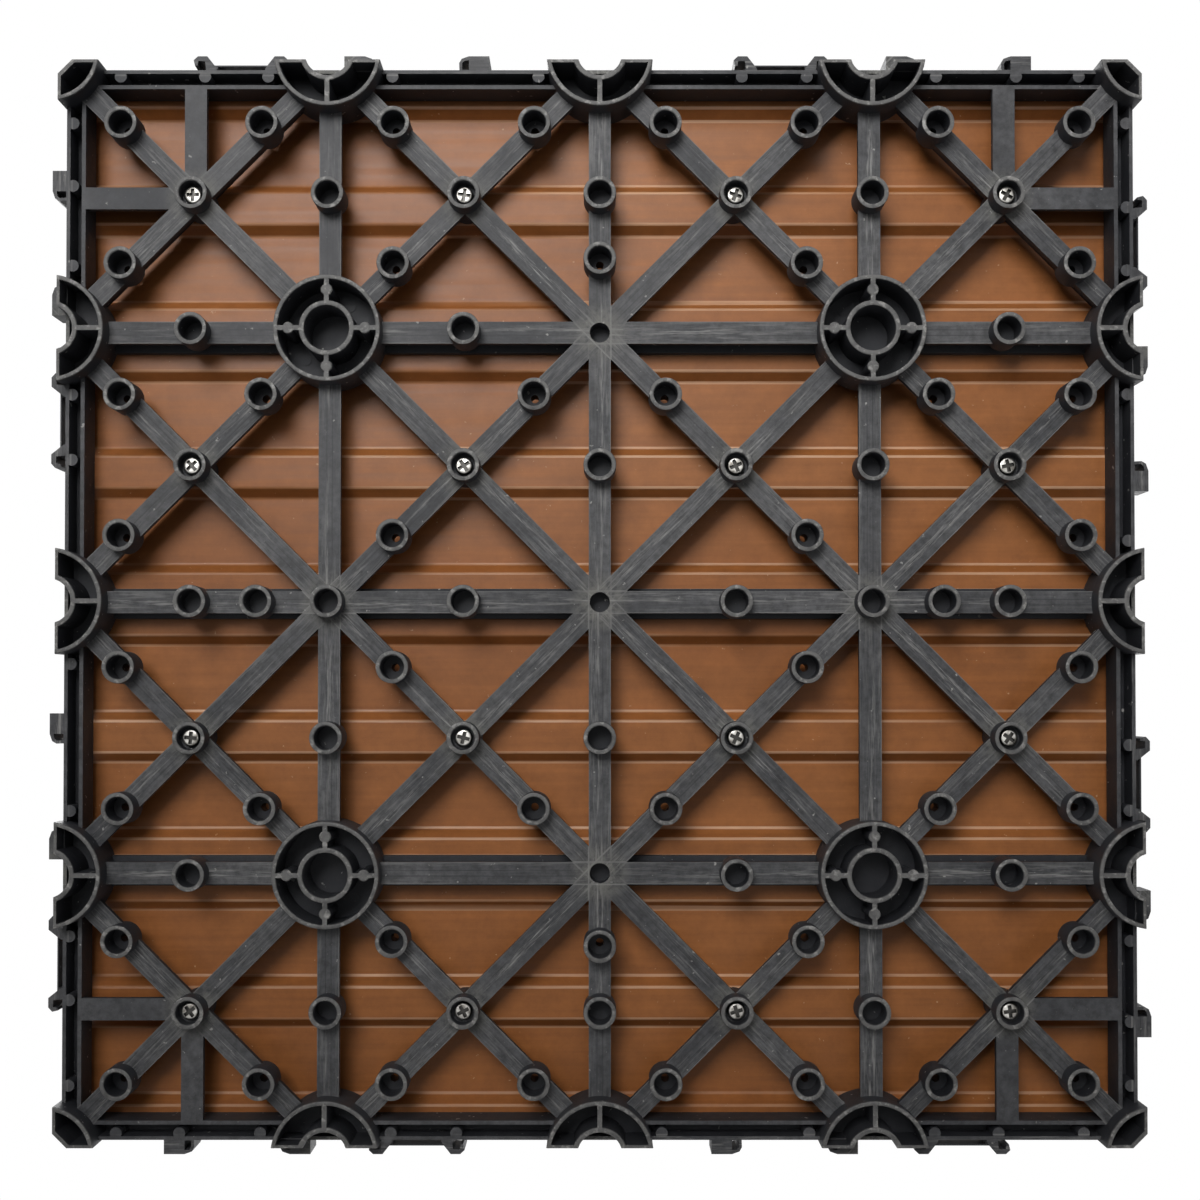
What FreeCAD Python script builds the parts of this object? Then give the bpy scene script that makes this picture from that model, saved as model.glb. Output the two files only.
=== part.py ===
import FreeCAD, Part
import Sketcher
import os

# Interlocking deck tile: four composite boards screwed to a moulded grid base.
# The base stands on the rims of its feet at Z = 0, with the walking surface up.
# The origin is on the ground below the middle of the tile, and boards run along X.

doc = FreeCAD.newDocument("deck_tile")
sizes = doc.addObject("Spreadsheet::Sheet", "Sizes")

# Driving dimensions, in millimetres
DRIVING_SIZES = {
    "grid_pitch": 75.0,
    "base_height": 14.0,
    "rib_face_height": 5.6,
    "flange_thickness": 1.8,
    "flange_width": 6.1,
    "web_thickness": 1.6,
    "top_skin": 2.0,
    "frame_half": 148.4,
    "outer_wall": 1.0,
    "channel_width": 3.2,
    "inner_wall": 1.1,
    "foot_flat_half": 149.0,
    "edge_foot_centre": 151.0,
    "foot_radius": 14.7,
    "foot_wall": 1.2,
    "corner_foot_radius": 13.25,
    "flat_wall": 0.8,
    "hub_radius": 7.6,
    "hub_bore_radius": 6.2,
    "spoke_width": 1.3,
    "boss_lift": 0.4,
    "boss_radius": 4.5,
    "boss_bore_radius": 3.3,
    "spare_boss_offset": 19.4,
    "gap_strip_half": 4.2,
    "boss_floor": 0.8,
    "node_hole_radius": 2.8,
    "node_hole_depth": 1.0,
    "board_gap": 5.0,
    "board_length": 297.0,
    "board_thickness": 11.0,
    "board_edge_bevel": 1.5,
    "board_top_bevel": 1.0,
    "channel_depth": 2.9,
    "channel_slope": 2.7,
    "centre_land_half": 4.5,
    "edge_land": 6.3,
    "screw_head_radius": 2.45,
    "screw_head_height": 2.0,
    "screw_head_sink": 2.3,
    "screw_shank_radius": 1.5,
    "screw_bite": 7.5,
    "screw_clearance": 0.15,
}

for row, (alias, value) in enumerate(DRIVING_SIZES.items(), start=1):
    sizes.set(f"A{row}", alias)
    sizes.set(f"B{row}", str(value))
    sizes.setAlias(f"B{row}", alias)
doc.recompute()

# Heights that several features share
RIB_FACE = "Sizes.rib_face_height"
FLANGE_TOP = "(Sizes.rib_face_height + Sizes.flange_thickness)"
SKIN_FACE = "(Sizes.base_height - Sizes.top_skin)"
BASE_TOP = "Sizes.base_height"
PITCH = "Sizes.grid_pitch"
SCREW_SEAT = "(Sizes.boss_lift + Sizes.screw_head_sink + Sizes.screw_head_height)"
FRAME_INSIDE = "(Sizes.frame_half - Sizes.outer_wall - Sizes.channel_width - Sizes.inner_wall)"
GROUND = "0"

# Number of flat sides that stand for a full circle, to keep the facets few
BOSS_SIDES = 8
BORE_SIDES = 6
FOOT_SIDES = 16
HUB_SIDES = 8
SHANK_SIDES = 4

# Boss layout, in grid pitches from the middle of the tile
SCREW_LINES = (-1.5, -0.5, 0.5, 1.5)
BLIND_BOSSES = [
    (0, -1.5), (0, -0.5), (0, 0.5), (0, 1.5),
    (-1, -1.5), (-1, 0.5), (-1, 1.5),
    (1, -1.5), (1, -0.5), (1, 1.5),
    (-1.5, -1), (-0.5, -1), (1.5, -1),
    (-1.5, 0), (-1, 0), (-0.5, 0), (0.5, 0), (1, 0), (1.5, 0),
    (-1.5, 1), (0.5, 1), (1.5, 1),
]
NODE_HOLES = [(0, -1), (0, 0), (0, 1)]


def number(expression):
    """Value of an expression on the sheet, to draw geometry where it will stay."""
    return float(sizes.evalExpression(expression))


def origin_plane(body, role):
    return next(item for item in body.Origin.OriginFeatures if item.Role == role)


def new_body(name):
    body = doc.addObject("PartDesign::Body", name)
    body.Label = name
    return body


def new_sketch(body, name, level, role="XY_Plane"):
    """Sketch parallel to an origin plane and raised to a level."""
    sketch = body.newObject("Sketcher::SketchObject", name)
    sketch.AttachmentSupport = (origin_plane(body, role), [""])
    sketch.MapMode = "FlatFace"
    sketch.setExpression("AttachmentOffset.Base.z", level)
    return sketch


def bind(sketch, kind, where, expression):
    """Dimension of a sketch that follows the sheet."""
    index = sketch.addConstraint(Sketcher.Constraint(kind, *where, number(expression)))
    sketch.setExpression(f"Constraints[{index}]", expression)


def outline(sketch, points):
    """Closed outline of straight edges through points given as pairs of expressions."""
    corners = [FreeCAD.Vector(number(x), number(y), 0) for x, y in points]
    edges = []
    for start, end in zip(corners, corners[1:] + corners[:1]):
        edges.append(sketch.addGeometry(Part.LineSegment(start, end)))
    for edge, following in zip(edges, edges[1:] + edges[:1]):
        sketch.addConstraint(Sketcher.Constraint("Coincident", edge, 2, following, 1))
    for edge, (x, y) in zip(edges, points):
        bind(sketch, "DistanceX", (-1, 1, edge, 1), x)
        bind(sketch, "DistanceY", (-1, 1, edge, 1), y)


def pad(body, sketch, name, length):
    feature = body.newObject("PartDesign::Pad", name)
    feature.Profile = sketch
    feature.setExpression("Length", length)
    feature.Refine = False
    return feature


def grid_point(i, j):
    return f"{i} * {PITCH}", f"{j} * {PITCH}"


def primitive(kind, name, place, measures):
    """Box, cylinder or wedge whose place and measures follow the sheet."""
    item = doc.addObject(f"Part::{kind}", name)
    for measure, expression in measures.items():
        item.setExpression(measure, expression)
    for axis, expression in zip("xyz", place):
        item.setExpression(f"Placement.Base.{axis}", expression)
    return item


def box(name, left, right, front, back, low, high):
    measures = {
        "Length": f"({right}) - ({left})",
        "Width": f"({back}) - ({front})",
        "Height": f"({high}) - ({low})",
    }
    return primitive("Box", name, (left, front, low), measures)


def square_box(name, half, low, high):
    return box(name, f"-1 * ({half})", half, f"-1 * ({half})", half, low, high)


def round_prism(name, point, radius, low, high, sides):
    """Upright many-sided solid with the same area as a circle of that radius."""
    corner = f"({radius}) * sqrt(2 * pi / ({sides} * sin(360 deg / {sides})))"
    measures = {"Circumradius": corner, "Height": f"({high}) - ({low})"}
    item = primitive("Prism", name, (*point, low), measures)
    item.Polygon = sides
    return item


def together(name, items):
    group = doc.addObject("Part::Compound", name)
    group.Links = items
    return group


def turned_copies(name, item):
    """The item on all four sides of the tile."""
    copies = []
    for quarter in range(4):
        copy = together(name, [item])
        copy.Placement.Rotation = FreeCAD.Rotation(FreeCAD.Vector(0, 0, 1), 90.0 * quarter)
        copies.append(copy)
    return copies


def fused(name, items):
    union = doc.addObject("Part::MultiFuse", name)
    union.Shapes = items
    union.Refine = False
    return union


def without(name, base, tool):
    rest = doc.addObject("Part::Cut", name)
    rest.Base = base
    rest.Tool = tool
    rest.Refine = False
    return rest


def spare_points():
    """Bosses on the diagonal ribs around the screw bosses, and four on straight ribs."""
    step = "Sizes.spare_boss_offset"
    points = []
    for sign in (-1, 1):
        points.append((f"{sign} * ({PITCH} + {step})", GROUND))
        points.append((GROUND, f"{sign} * ({PITCH} + {step})"))
    for i in SCREW_LINES:
        for j in SCREW_LINES:
            x, y = grid_point(i, j)
            out_x, out_y = ("+" if i > 0 else "-"), ("+" if j > 0 else "-")
            in_x, in_y = ("-" if i > 0 else "+"), ("-" if j > 0 else "+")
            points.append((f"{x} {out_x} {step}", f"{y} {in_y} {step}"))
            points.append((f"{x} {in_x} {step}", f"{y} {out_y} {step}"))
            if (abs(i), abs(j)) != (SCREW_LINES[2], SCREW_LINES[2]):
                points.append((f"{x} {out_x} {step}", f"{y} {out_y} {step}"))
    return points


SPARE_POINTS = spare_points()
SCREW_POINTS = [grid_point(i, j) for i in SCREW_LINES for j in SCREW_LINES]
BLIND_POINTS = [grid_point(i, j) for i, j in BLIND_BOSSES]
EDGE_FOOT_LINES = (-1, 0, 1)
FOOT_BORE = "Sizes.foot_radius - Sizes.foot_wall"
CORNER_FOOT_BORE = "Sizes.corner_foot_radius - Sizes.foot_wall"
EDGE = "Sizes.edge_foot_centre"
WHOLE_FOOT = grid_point(1, 1)
EDGE_FEET = [(EDGE, f"{line} * {PITCH}") for line in EDGE_FOOT_LINES]
SIDE_FEET = [WHOLE_FOOT] + EDGE_FEET
CORNER_FOOT = (EDGE, EDGE)
FULL_FOOT_POINTS = [grid_point(i, j) for i in (-1, 1) for j in (-1, 1)]


# Base grid: frame, ribs, feet, bosses and edge clips in one moulding

def window(turn, i, j, rib_half, low, high):
    """Three-sided window between a straight rib and the two diagonal ribs of a cell."""
    wide = f"({PITCH} / 2 - {rib_half} * (1 + sqrt(2)))"
    deep = f"({PITCH} / 2 - {rib_half})"
    side_x, side_y = ((0, -1), (1, 0), (0, 1), (-1, 0))[turn]
    place = (f"{i} * {PITCH} + {side_x} * {deep}", f"{j} * {PITCH} + {side_y} * {deep}", low)
    height = f"{high} - {low}"
    item = primitive("Wedge", "window", place, {
        "Xmin": f"-1 * {wide}", "Xmax": wide, "X2min": GROUND, "X2max": GROUND,
        "Ymin": GROUND, "Ymax": wide,
        "Zmin": GROUND, "Zmax": height, "Z2min": GROUND, "Z2max": height,
    })
    item.Placement.Rotation = FreeCAD.Rotation(FreeCAD.Vector(0, 0, 1), 90.0 * turn)
    return item


def make_ribs():
    """Straight and diagonal ribs of T section: flanges below, thin webs up to the boards."""
    plate = square_box("plate", f"{FRAME_INSIDE} + Sizes.inner_wall / 2", RIB_FACE, BASE_TOP)
    openings = []
    for i in SCREW_LINES:
        for j in SCREW_LINES:
            for turn in range(4):
                openings.append(window(turn, i, j, "Sizes.flange_width / 2", RIB_FACE, FLANGE_TOP))
                openings.append(window(turn, i, j, "Sizes.web_thickness / 2", FLANGE_TOP, BASE_TOP))
    for point in FULL_FOOT_POINTS:
        openings.append(
            round_prism("foot_clearing", point, FOOT_BORE, RIB_FACE, SKIN_FACE, FOOT_SIDES))
    return without("ribs", plate, together("windows", openings))


def corner_ribs():
    """Ribs from each corner screw boss straight out to the frame."""
    start = f"{SCREW_LINES[-1]} * {PITCH}"
    end = f"({FRAME_INSIDE} + Sizes.inner_wall / 2)"
    ribs = []
    for width, low, high in (
        ("Sizes.flange_width", RIB_FACE, FLANGE_TOP),
        ("Sizes.web_thickness", FLANGE_TOP, BASE_TOP),
    ):
        across = (f"{start} - {width} / 2", f"{start} + {width} / 2")
        ribs.append(box("corner_rib", start, end, *across, low, high))
        ribs.append(box("corner_rib", *across, start, end, low, high))
    return turned_copies("corner_ribs", fused("corner_rib_set", ribs))


def gap_strips():
    """Flat strips under the gaps between boards, level with the tops of the feet."""
    reach = f"({FRAME_INSIDE} + Sizes.inner_wall / 2)"
    half = "Sizes.gap_strip_half"
    strips = []
    for line in (-1, 0, 1):
        across = (f"{line} * {PITCH} - {half}", f"{line} * {PITCH} + {half}")
        strips.append(box("gap_strip", f"-1 * {reach}", reach, *across, SKIN_FACE, BASE_TOP))
    return strips


def make_frame():
    """Double-walled frame, open downwards between its walls."""
    outside = "Sizes.frame_half - Sizes.outer_wall"
    block = without(
        "frame_block",
        square_box("frame_outside", "Sizes.frame_half", RIB_FACE, BASE_TOP),
        square_box("frame_inside", FRAME_INSIDE, RIB_FACE, BASE_TOP),
    )
    channel = without(
        "frame_channel",
        square_box("channel_outside", outside, RIB_FACE, SKIN_FACE),
        square_box("channel_inside", f"{outside} - Sizes.channel_width", RIB_FACE, SKIN_FACE),
    )
    return without("frame", block, channel)


def foot_shells():
    """Round walls and closed tops of one whole foot, three edge feet and one corner foot."""
    kinds = [(point, "Sizes.foot_radius", FOOT_BORE) for point in SIDE_FEET]
    kinds.append((CORNER_FOOT, "Sizes.corner_foot_radius", CORNER_FOOT_BORE))
    outsides = []
    insides = []
    for point, outer, inner in kinds:
        outsides.append(round_prism("foot", point, outer, GROUND, BASE_TOP, FOOT_SIDES))
        insides.append(round_prism("foot_cavity", point, inner, GROUND, SKIN_FACE, FOOT_SIDES))
    return without("foot_shells", together("feet_outside", outsides), together("feet_inside", insides))


def foot_spokes():
    """Four spokes in the whole foot and one in each edge foot, from hub to wall."""
    inner = "(Sizes.hub_radius - Sizes.spoke_width / 2)"
    outer = "(Sizes.foot_radius - Sizes.foot_wall / 2)"
    half = "Sizes.spoke_width / 2"
    x, y = WHOLE_FOOT
    beside = (f"{x} - {half}", f"{x} + {half}")
    above = (f"{y} + {inner}", f"{y} + {outer}")
    below = (f"{y} - {outer}", f"{y} - {inner}")
    across = (f"{y} - {half}", f"{y} + {half}")
    spokes = [
        box("spoke", *beside, *above, GROUND, SKIN_FACE),
        box("spoke", *beside, *below, GROUND, SKIN_FACE),
        box("spoke", f"{x} + {inner}", f"{x} + {outer}", *across, GROUND, SKIN_FACE),
    ]
    for x, y in SIDE_FEET:
        along = (f"{x} - {outer}", f"{x} - {inner}")
        spokes.append(box("spoke", *along, f"{y} - {half}", f"{y} + {half}", GROUND, SKIN_FACE))
    return spokes


def foot_flats():
    """Flat walls that close the cut feet just inside the tile's edge."""
    outer = "Sizes.foot_flat_half"
    inner = "(Sizes.foot_flat_half - Sizes.flat_wall)"
    reach = "(Sizes.foot_radius - Sizes.foot_wall / 2)"
    corner = f"({EDGE} - Sizes.corner_foot_radius + Sizes.foot_wall / 2)"
    flats = [box("foot_flat", inner, outer, f"{y} - {reach}", f"{y} + {reach}", GROUND, BASE_TOP)
             for x, y in EDGE_FEET]
    flats.append(box("foot_flat", inner, outer, corner, outer, GROUND, BASE_TOP))
    flats.append(box("foot_flat", corner, inner, inner, outer, GROUND, BASE_TOP))
    return flats


def edge_foot_clearings():
    """Space around the hubs of the cut feet, which ribs and frame do not cross."""
    cavities = [round_prism("edge_foot_space", point, FOOT_BORE, RIB_FACE, SKIN_FACE, FOOT_SIDES)
                for point in EDGE_FEET]
    cavities.append(round_prism("corner_foot_space", CORNER_FOOT, CORNER_FOOT_BORE, RIB_FACE,
                                SKIN_FACE, FOOT_SIDES))
    hubs = [round_prism("hub_space", point, "Sizes.hub_radius", RIB_FACE, SKIN_FACE, HUB_SIDES)
            for point in EDGE_FEET + [CORNER_FOOT]]
    space = without("foot_space", together("foot_cavities", cavities), together("hub_spaces", hubs))
    return turned_copies("foot_spaces", space)


def make_feet():
    """Feet with hub, spokes and flats, trimmed to the square of the tile."""
    places = SIDE_FEET + [CORNER_FOOT]
    hubs = [round_prism("hub", point, "Sizes.hub_radius", GROUND, SKIN_FACE, HUB_SIDES)
            for point in places]
    bores = [round_prism("hub_bore", point, "Sizes.hub_bore_radius", GROUND, SKIN_FACE, HUB_SIDES)
             for point in places]
    solids = fused("feet_solid", [foot_shells()] + hubs + foot_spokes() + foot_flats())
    bored = without("feet_bored", solids, together("hub_bores", bores))
    feet = doc.addObject("Part::Common", "feet")
    feet.Base = bored
    feet.Tool = square_box("tile_square", "Sizes.foot_flat_half", GROUND, BASE_TOP)
    feet.Refine = True
    return turned_copies("feet_of_a_side", feet)


def make_bosses():
    """Solid bosses: short ones that end at the ribs, and screw bosses up to the boards."""
    low = "Sizes.boss_lift"
    radius = "Sizes.boss_radius"
    bosses = [round_prism("boss", point, radius, low, RIB_FACE, BOSS_SIDES)
              for point in SPARE_POINTS + BLIND_POINTS]
    bosses += [round_prism("screw_boss", point, radius, low, BASE_TOP, BOSS_SIDES)
               for point in SCREW_POINTS]
    return bosses


def boss_bores():
    """Bores of the bosses, stepped holes for the screws and shallow holes in the ribs."""
    floor = f"({RIB_FACE} - Sizes.boss_floor)"
    bore = "Sizes.boss_bore_radius"
    shank = "Sizes.screw_shank_radius + Sizes.screw_clearance"
    face = f"({RIB_FACE} + Sizes.node_hole_depth)"
    shallow = "Sizes.node_hole_radius"
    bores = [round_prism("bore", point, bore, GROUND, floor, BORE_SIDES)
             for point in SPARE_POINTS + BLIND_POINTS]
    for point in SCREW_POINTS:
        bores.append(round_prism("screw_seat", point, bore, GROUND, SCREW_SEAT, BORE_SIDES))
        bores.append(round_prism("screw_hole", point, shank, SCREW_SEAT, BASE_TOP, SHANK_SIDES))
    for i, j in NODE_HOLES:
        point = grid_point(i, j)
        bores.append(round_prism("node_hole", point, shallow, RIB_FACE, face, BORE_SIDES))
    return bores


# Places along one side of the tile, from its middle, that all four sides repeat
HOOK_PAIRS = (-100.0, 50.5)
CATCH_PAIRS = (-51.0, 100.0)

# Half outlines of a pair of clips: distance from the pair's middle, and out from the frame
HOOK = ((6.7, -0.4), (9.4, 3.9), (12.9, 3.9), (12.8, 1.2), (12.1, 1.3), (11.9, 2.6),
        (10.0, 2.5), (9.7, -0.4))
CATCH = ((11.9, -0.4), (11.8, 2.0), (14.5, 3.9), (20.2, 3.9), (20.2, -0.4))
BRIDGE = ((-9.0, -0.4), (-9.0, 2.1), (9.0, 2.1), (9.0, -0.4))
BRIDGE_SLOT = ((-6.9, 0.5), (-6.9, 1.7), (6.9, 1.7), (6.9, 0.5))


def clip_outline(sketch, middle, points, mirror=1):
    outline(sketch, [(f"Sizes.frame_half + {out}", f"{middle + mirror * along}")
                     for along, out in points])


def make_clips():
    """Hooks and catches that lock neighbouring tiles."""
    body = new_body("clips")
    bridges = new_sketch(body, "bridge_outline", FLANGE_TOP)
    hooks = new_sketch(body, "hook_outline", RIB_FACE)
    catches = new_sketch(body, "catch_outline", RIB_FACE)
    for middle in HOOK_PAIRS:
        clip_outline(bridges, middle, BRIDGE)
        clip_outline(bridges, middle, BRIDGE_SLOT)
        clip_outline(hooks, middle, HOOK)
        clip_outline(hooks, middle, HOOK, -1)
    for middle in CATCH_PAIRS:
        for mirror in (-1, 1):
            clip_outline(catches, middle, CATCH, mirror)
    pad(body, bridges, "hook_bridges", f"{BASE_TOP} - {FLANGE_TOP}")
    pad(body, hooks, "hooks", f"{BASE_TOP} - {RIB_FACE}")
    pad(body, catches, "catches", f"{BASE_TOP} - {RIB_FACE}")
    return turned_copies("clips_of_a_side", body)


def make_base():
    ribs = [make_ribs()] + corner_ribs() + gap_strips()
    lattice = fused("lattice", ribs + [make_frame()] + make_bosses())
    lattice.Refine = True
    openings = together("openings", boss_bores() + edge_foot_clearings())
    bored = without("bored_lattice", lattice, openings)
    base = fused("base_grid", [bored] + make_feet() + make_clips())
    base.Refine = True
    return base


# Deck boards: one extruded section, with two shallow channels along the underside

BOARD_HALF = f"({PITCH} - Sizes.board_gap) / 2"
LAND_START = f"({BOARD_HALF} - Sizes.edge_land)"


def board_section(sketch):
    """Section across a board, from the underside up, in a board's own middle plane."""
    deep = "Sizes.channel_depth"
    edge = "Sizes.board_edge_bevel"
    round_over = "Sizes.board_top_bevel"
    right_half = [
        ("Sizes.centre_land_half", GROUND),
        ("Sizes.centre_land_half + Sizes.channel_slope", deep),
        (f"{LAND_START} - Sizes.channel_slope", deep),
        (LAND_START, GROUND),
        (f"{BOARD_HALF} - {edge}", GROUND),
        (BOARD_HALF, edge),
        (BOARD_HALF, f"Sizes.board_thickness - {round_over}"),
        (f"{BOARD_HALF} - {round_over}", "Sizes.board_thickness"),
    ]
    left_half = [(f"-({x})", z) for x, z in reversed(right_half)]
    outline(sketch, right_half + left_half)


def make_board(index, line):
    body = new_body(f"board_blank_{index}")
    section = new_sketch(body, "section", GROUND, "YZ_Plane")
    board_section(section)
    blank = pad(body, section, "board", "Sizes.board_length")
    blank.Midplane = True
    body.setExpression("Placement.Base.y", f"{line} * {PITCH}")
    body.setExpression("Placement.Base.z", BASE_TOP)
    radius = "Sizes.screw_shank_radius + Sizes.screw_clearance"
    end = f"{BASE_TOP} + Sizes.screw_bite + Sizes.screw_clearance"
    holes = [round_prism("screw_hole", grid_point(i, line), radius, BASE_TOP, end, SHANK_SIDES)
             for i in SCREW_LINES]
    return without(f"deck_board_{index}", body, together("screw_holes", holes))


# Screws: sixteen equal screws with flat heads, driven up through the bosses

def make_screws():
    head_top = "Sizes.screw_head_height"
    tip = f"({head_top} + {BASE_TOP} - {SCREW_SEAT} + Sizes.screw_bite)"
    middle = (GROUND, GROUND)
    screw = fused("screw", [
        round_prism("screw_head", middle, "Sizes.screw_head_radius", GROUND, head_top, BOSS_SIDES),
        round_prism("screw_shank", middle, "Sizes.screw_shank_radius", head_top, tip, SHANK_SIDES),
    ])
    screws = []
    for x, y in SCREW_POINTS:
        placed = together("placed_screw", [screw])
        placed.setExpression("Placement.Base.x", x)
        placed.setExpression("Placement.Base.y", y)
        placed.setExpression("Placement.Base.z", f"{SCREW_SEAT} - {head_top}")
        screws.append(placed)
    return together("board_screws", screws)


def check_document():
    doc.recompute()
    for item in doc.Objects:
        if "Invalid" in item.State or "Error" in item.State:
            raise RuntimeError(f"{item.Label} did not build: {item.State}")


def write_parts(nodes):
    os.makedirs("parts", exist_ok=True)
    for node in nodes:
        if node.Shape.isNull() or not node.Shape.isValid():
            raise RuntimeError(f"{node.Label} has no valid shape")
        node.Shape.exportStep(f"parts/{node.Label}.step")


pieces = [make_base()]
pieces += [make_board(index, line) for index, line in enumerate(SCREW_LINES, start=1)]
pieces.append(make_screws())
check_document()
write_parts(pieces)
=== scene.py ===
"""Interlocking deck tile seen from below.

The base grid and its screws are rebuilt here as finer closed meshes, which take the place of
their CAD nodes. The boards stay the CAD nodes, with rounded edges. Materials, floor, light and
the photograph's camera follow.
"""
import math

import bmesh
import bpy
from mathutils import Matrix, Vector


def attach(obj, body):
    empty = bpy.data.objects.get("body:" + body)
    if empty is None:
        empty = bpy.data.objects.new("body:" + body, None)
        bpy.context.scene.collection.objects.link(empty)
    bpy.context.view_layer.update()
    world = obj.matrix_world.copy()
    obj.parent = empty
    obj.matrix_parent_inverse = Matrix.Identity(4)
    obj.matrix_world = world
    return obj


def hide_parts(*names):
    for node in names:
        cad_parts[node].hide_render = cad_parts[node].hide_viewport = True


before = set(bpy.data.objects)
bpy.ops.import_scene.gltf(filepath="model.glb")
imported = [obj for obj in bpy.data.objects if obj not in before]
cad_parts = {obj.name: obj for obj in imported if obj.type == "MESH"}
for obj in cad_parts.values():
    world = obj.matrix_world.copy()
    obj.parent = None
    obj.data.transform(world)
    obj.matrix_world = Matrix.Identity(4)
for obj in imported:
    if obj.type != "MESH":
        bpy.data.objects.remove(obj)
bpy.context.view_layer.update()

MM = 0.001

# The photograph's camera, which looks up at the tile's underside from below it
FRAME_PIXELS = 1200.0
SENSOR = 36.0
FOCAL_PIXELS = 1463.0
CAMERA_PLACE = Vector((0.06, 27.2, -399.6)) * MM
CAMERA_TILT = 0.0147
PRINCIPAL_ROW = 678.8

BOARDS = [f"deck_board_{index}" for index in (1, 2, 3, 4)]
BOARD_ROUNDING, CORNER_JOIN = 0.45, 0.005  # millimetres


# Sizes of the finer base and screws, in millimetres; heights run up from the feet's rims

PITCH = 75.0
HALF_PITCH = PITCH / 2
TOP = 13.98  # just under the boards
RIB_FACE = 5.6
FLANGE_TOP = 7.4
SKIN = 12.0  # closed tops of the feet and of the frame's channel
FLANGE_WIDTH = 6.1
WEB_WIDTH = 1.6
STRIP_WIDTH = 8.4  # closes the gap between two boards
FRAME_OUT, CHANNEL_OUT = 148.4, 147.4
CHANNEL_IN, FRAME_IN = 144.2, 143.1
RIB_REACH = 143.65
FOOT_EDGE = 149.0  # flats of the feet that the tile's sides cut
FOOT_FLAT_WALL = 0.8
FOOT_FLAT_HALF = 14.1
FOOT_CENTRE = 151.0
FOOT_OUT, FOOT_IN = 14.7, 13.5
CORNER_OUT, CORNER_IN = 13.25, 12.05
CORNER_FLAT = 12.65
CORNER_CUT, CORNER_WALL = 294.1, 1.5  # the cut runs where x + y has this value
HUB_OUT, HUB_IN = 7.6, 6.2
SPOKE_HALF = 0.65
SPOKE_LOW = 0.05
PAD_RADIUS, PAD_RING, PAD_RIM = 1.6, 10.55, 0.25
MARK_RADIUS, MARK_HEIGHT = 1.6, 0.25
MARK_STEPS = ((7.9, -6.2), (-4.6, 8.9))
BOSS_OUT, BOSS_IN, BOSS_RIM = 4.5, 3.3, 0.25
BOSS_LOW, SEAT, DEEP_BORE = 0.4, 4.7, 7.9
BORE_WALL = 0.8
SPARE_STEP = 19.4
PILOT, SLEEVE = 1.15, 2.2
SCREW_HOLE = 1.65
PLAIN_HOLE, PLAIN_WALL, PLAIN_FLOOR = 2.8, 4.0, 11.0
# Small steps that keep the faces of two joined solids out of one plane
WEB_STEP, SLEEVE_STEP, SLEEVE_TOP, SKIN_STEP, SKIN_TOP = 0.2, 0.3, 0.02, 0.1, 0.01
OVERLAP = 0.5  # how far one solid runs into the next that it joins
CLEAR = 1.0  # how far a cut runs out of the solid
ROUND, SMALL_ROUND, PILOT_ROUND = 48, 28, 16
SCREW_LINES = (-1.5, -0.5, 0.5, 1.5)
# Blind bosses, in pitches from the middle of the tile
BLIND_BOSSES = [
    (0, -1.5), (0, -0.5), (0, 0.5), (0, 1.5),
    (-1, -1.5), (-1, 0.5), (-1, 1.5),
    (1, -1.5), (1, -0.5), (1, 1.5),
    (-1.5, -1), (-0.5, -1), (1.5, -1),
    (-1.5, 0), (-1, 0), (-0.5, 0), (0.5, 0), (1, 0), (1.5, 0),
    (-1.5, 1), (0.5, 1), (1.5, 1),
]
POSTS_ALONG = (-133.5, -110.0, -92.4, -57.8, -17.1, 39.6, 57.7, 93.7, 116.0, 133.5)
POST_OUT, POST_RADIUS = 146.6, 1.65


# Solids, in millimetres: each is a pair of corners and faces

def prism(points, low, high):
    """Upright solid over a closed outline that runs anticlockwise."""
    count = len(points)
    corners = [(x, y, low) for x, y in points] + [(x, y, high) for x, y in points]
    faces = [tuple(reversed(range(count))), tuple(range(count, 2 * count))]
    for k in range(count):
        after = (k + 1) % count
        faces.append((k, after, count + after, count + k))
    return corners, faces


def block(left, right, front, back, low, high):
    return prism([(left, front), (right, front), (right, back), (left, back)], low, high)


def lathe(profile, x, y, segments, closed=False):
    """Upright solid of revolution; a closed profile makes a tube."""
    corners = []
    for radius, z in profile:
        for k in range(segments):
            angle = 2 * math.pi * k / segments
            corners.append((x + radius * math.cos(angle), y + radius * math.sin(angle), z))
    rings = len(profile)
    faces = []
    for ring in range(rings if closed else rings - 1):
        low = ring * segments
        high = (ring + 1) % rings * segments
        for k in range(segments):
            after = (k + 1) % segments
            faces.append((low + k, low + after, high + after, high + k))
    if not closed:
        faces.append(tuple(reversed(range(segments))))
        faces.append(tuple(range((rings - 1) * segments, rings * segments)))
    return corners, faces


def cylinder(x, y, radius, low, high, segments=SMALL_ROUND):
    return lathe([(radius, low), (radius, high)], x, y, segments)


def wall_tube(x, y, outer, inner, rim=0.3):
    """Round wall that stands on the ground, with its rim rounded off on both sides."""
    high, lip = SKIN + OVERLAP, 0.3
    step, low = 0.4 * rim, 0.4 * rim - 0.04
    profile = [(inner, high), (inner, rim), (inner + step, low), (inner + rim, 0.0),
               (outer - rim, 0.0), (outer - step, low), (outer, rim), (outer, TOP),
               (outer - lip, TOP), (outer - lip, high)]
    return lathe(profile, x, y, ROUND, closed=True)


def turned(solid, quarter):
    """The solid turned about the middle of the tile by that many quarters."""
    cos, sin = ((1, 0), (0, 1), (-1, 0), (0, -1))[quarter]
    corners = [(x * cos - y * sin, x * sin + y * cos, z) for x, y, z in solid[0]]
    return corners, solid[1]


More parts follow.
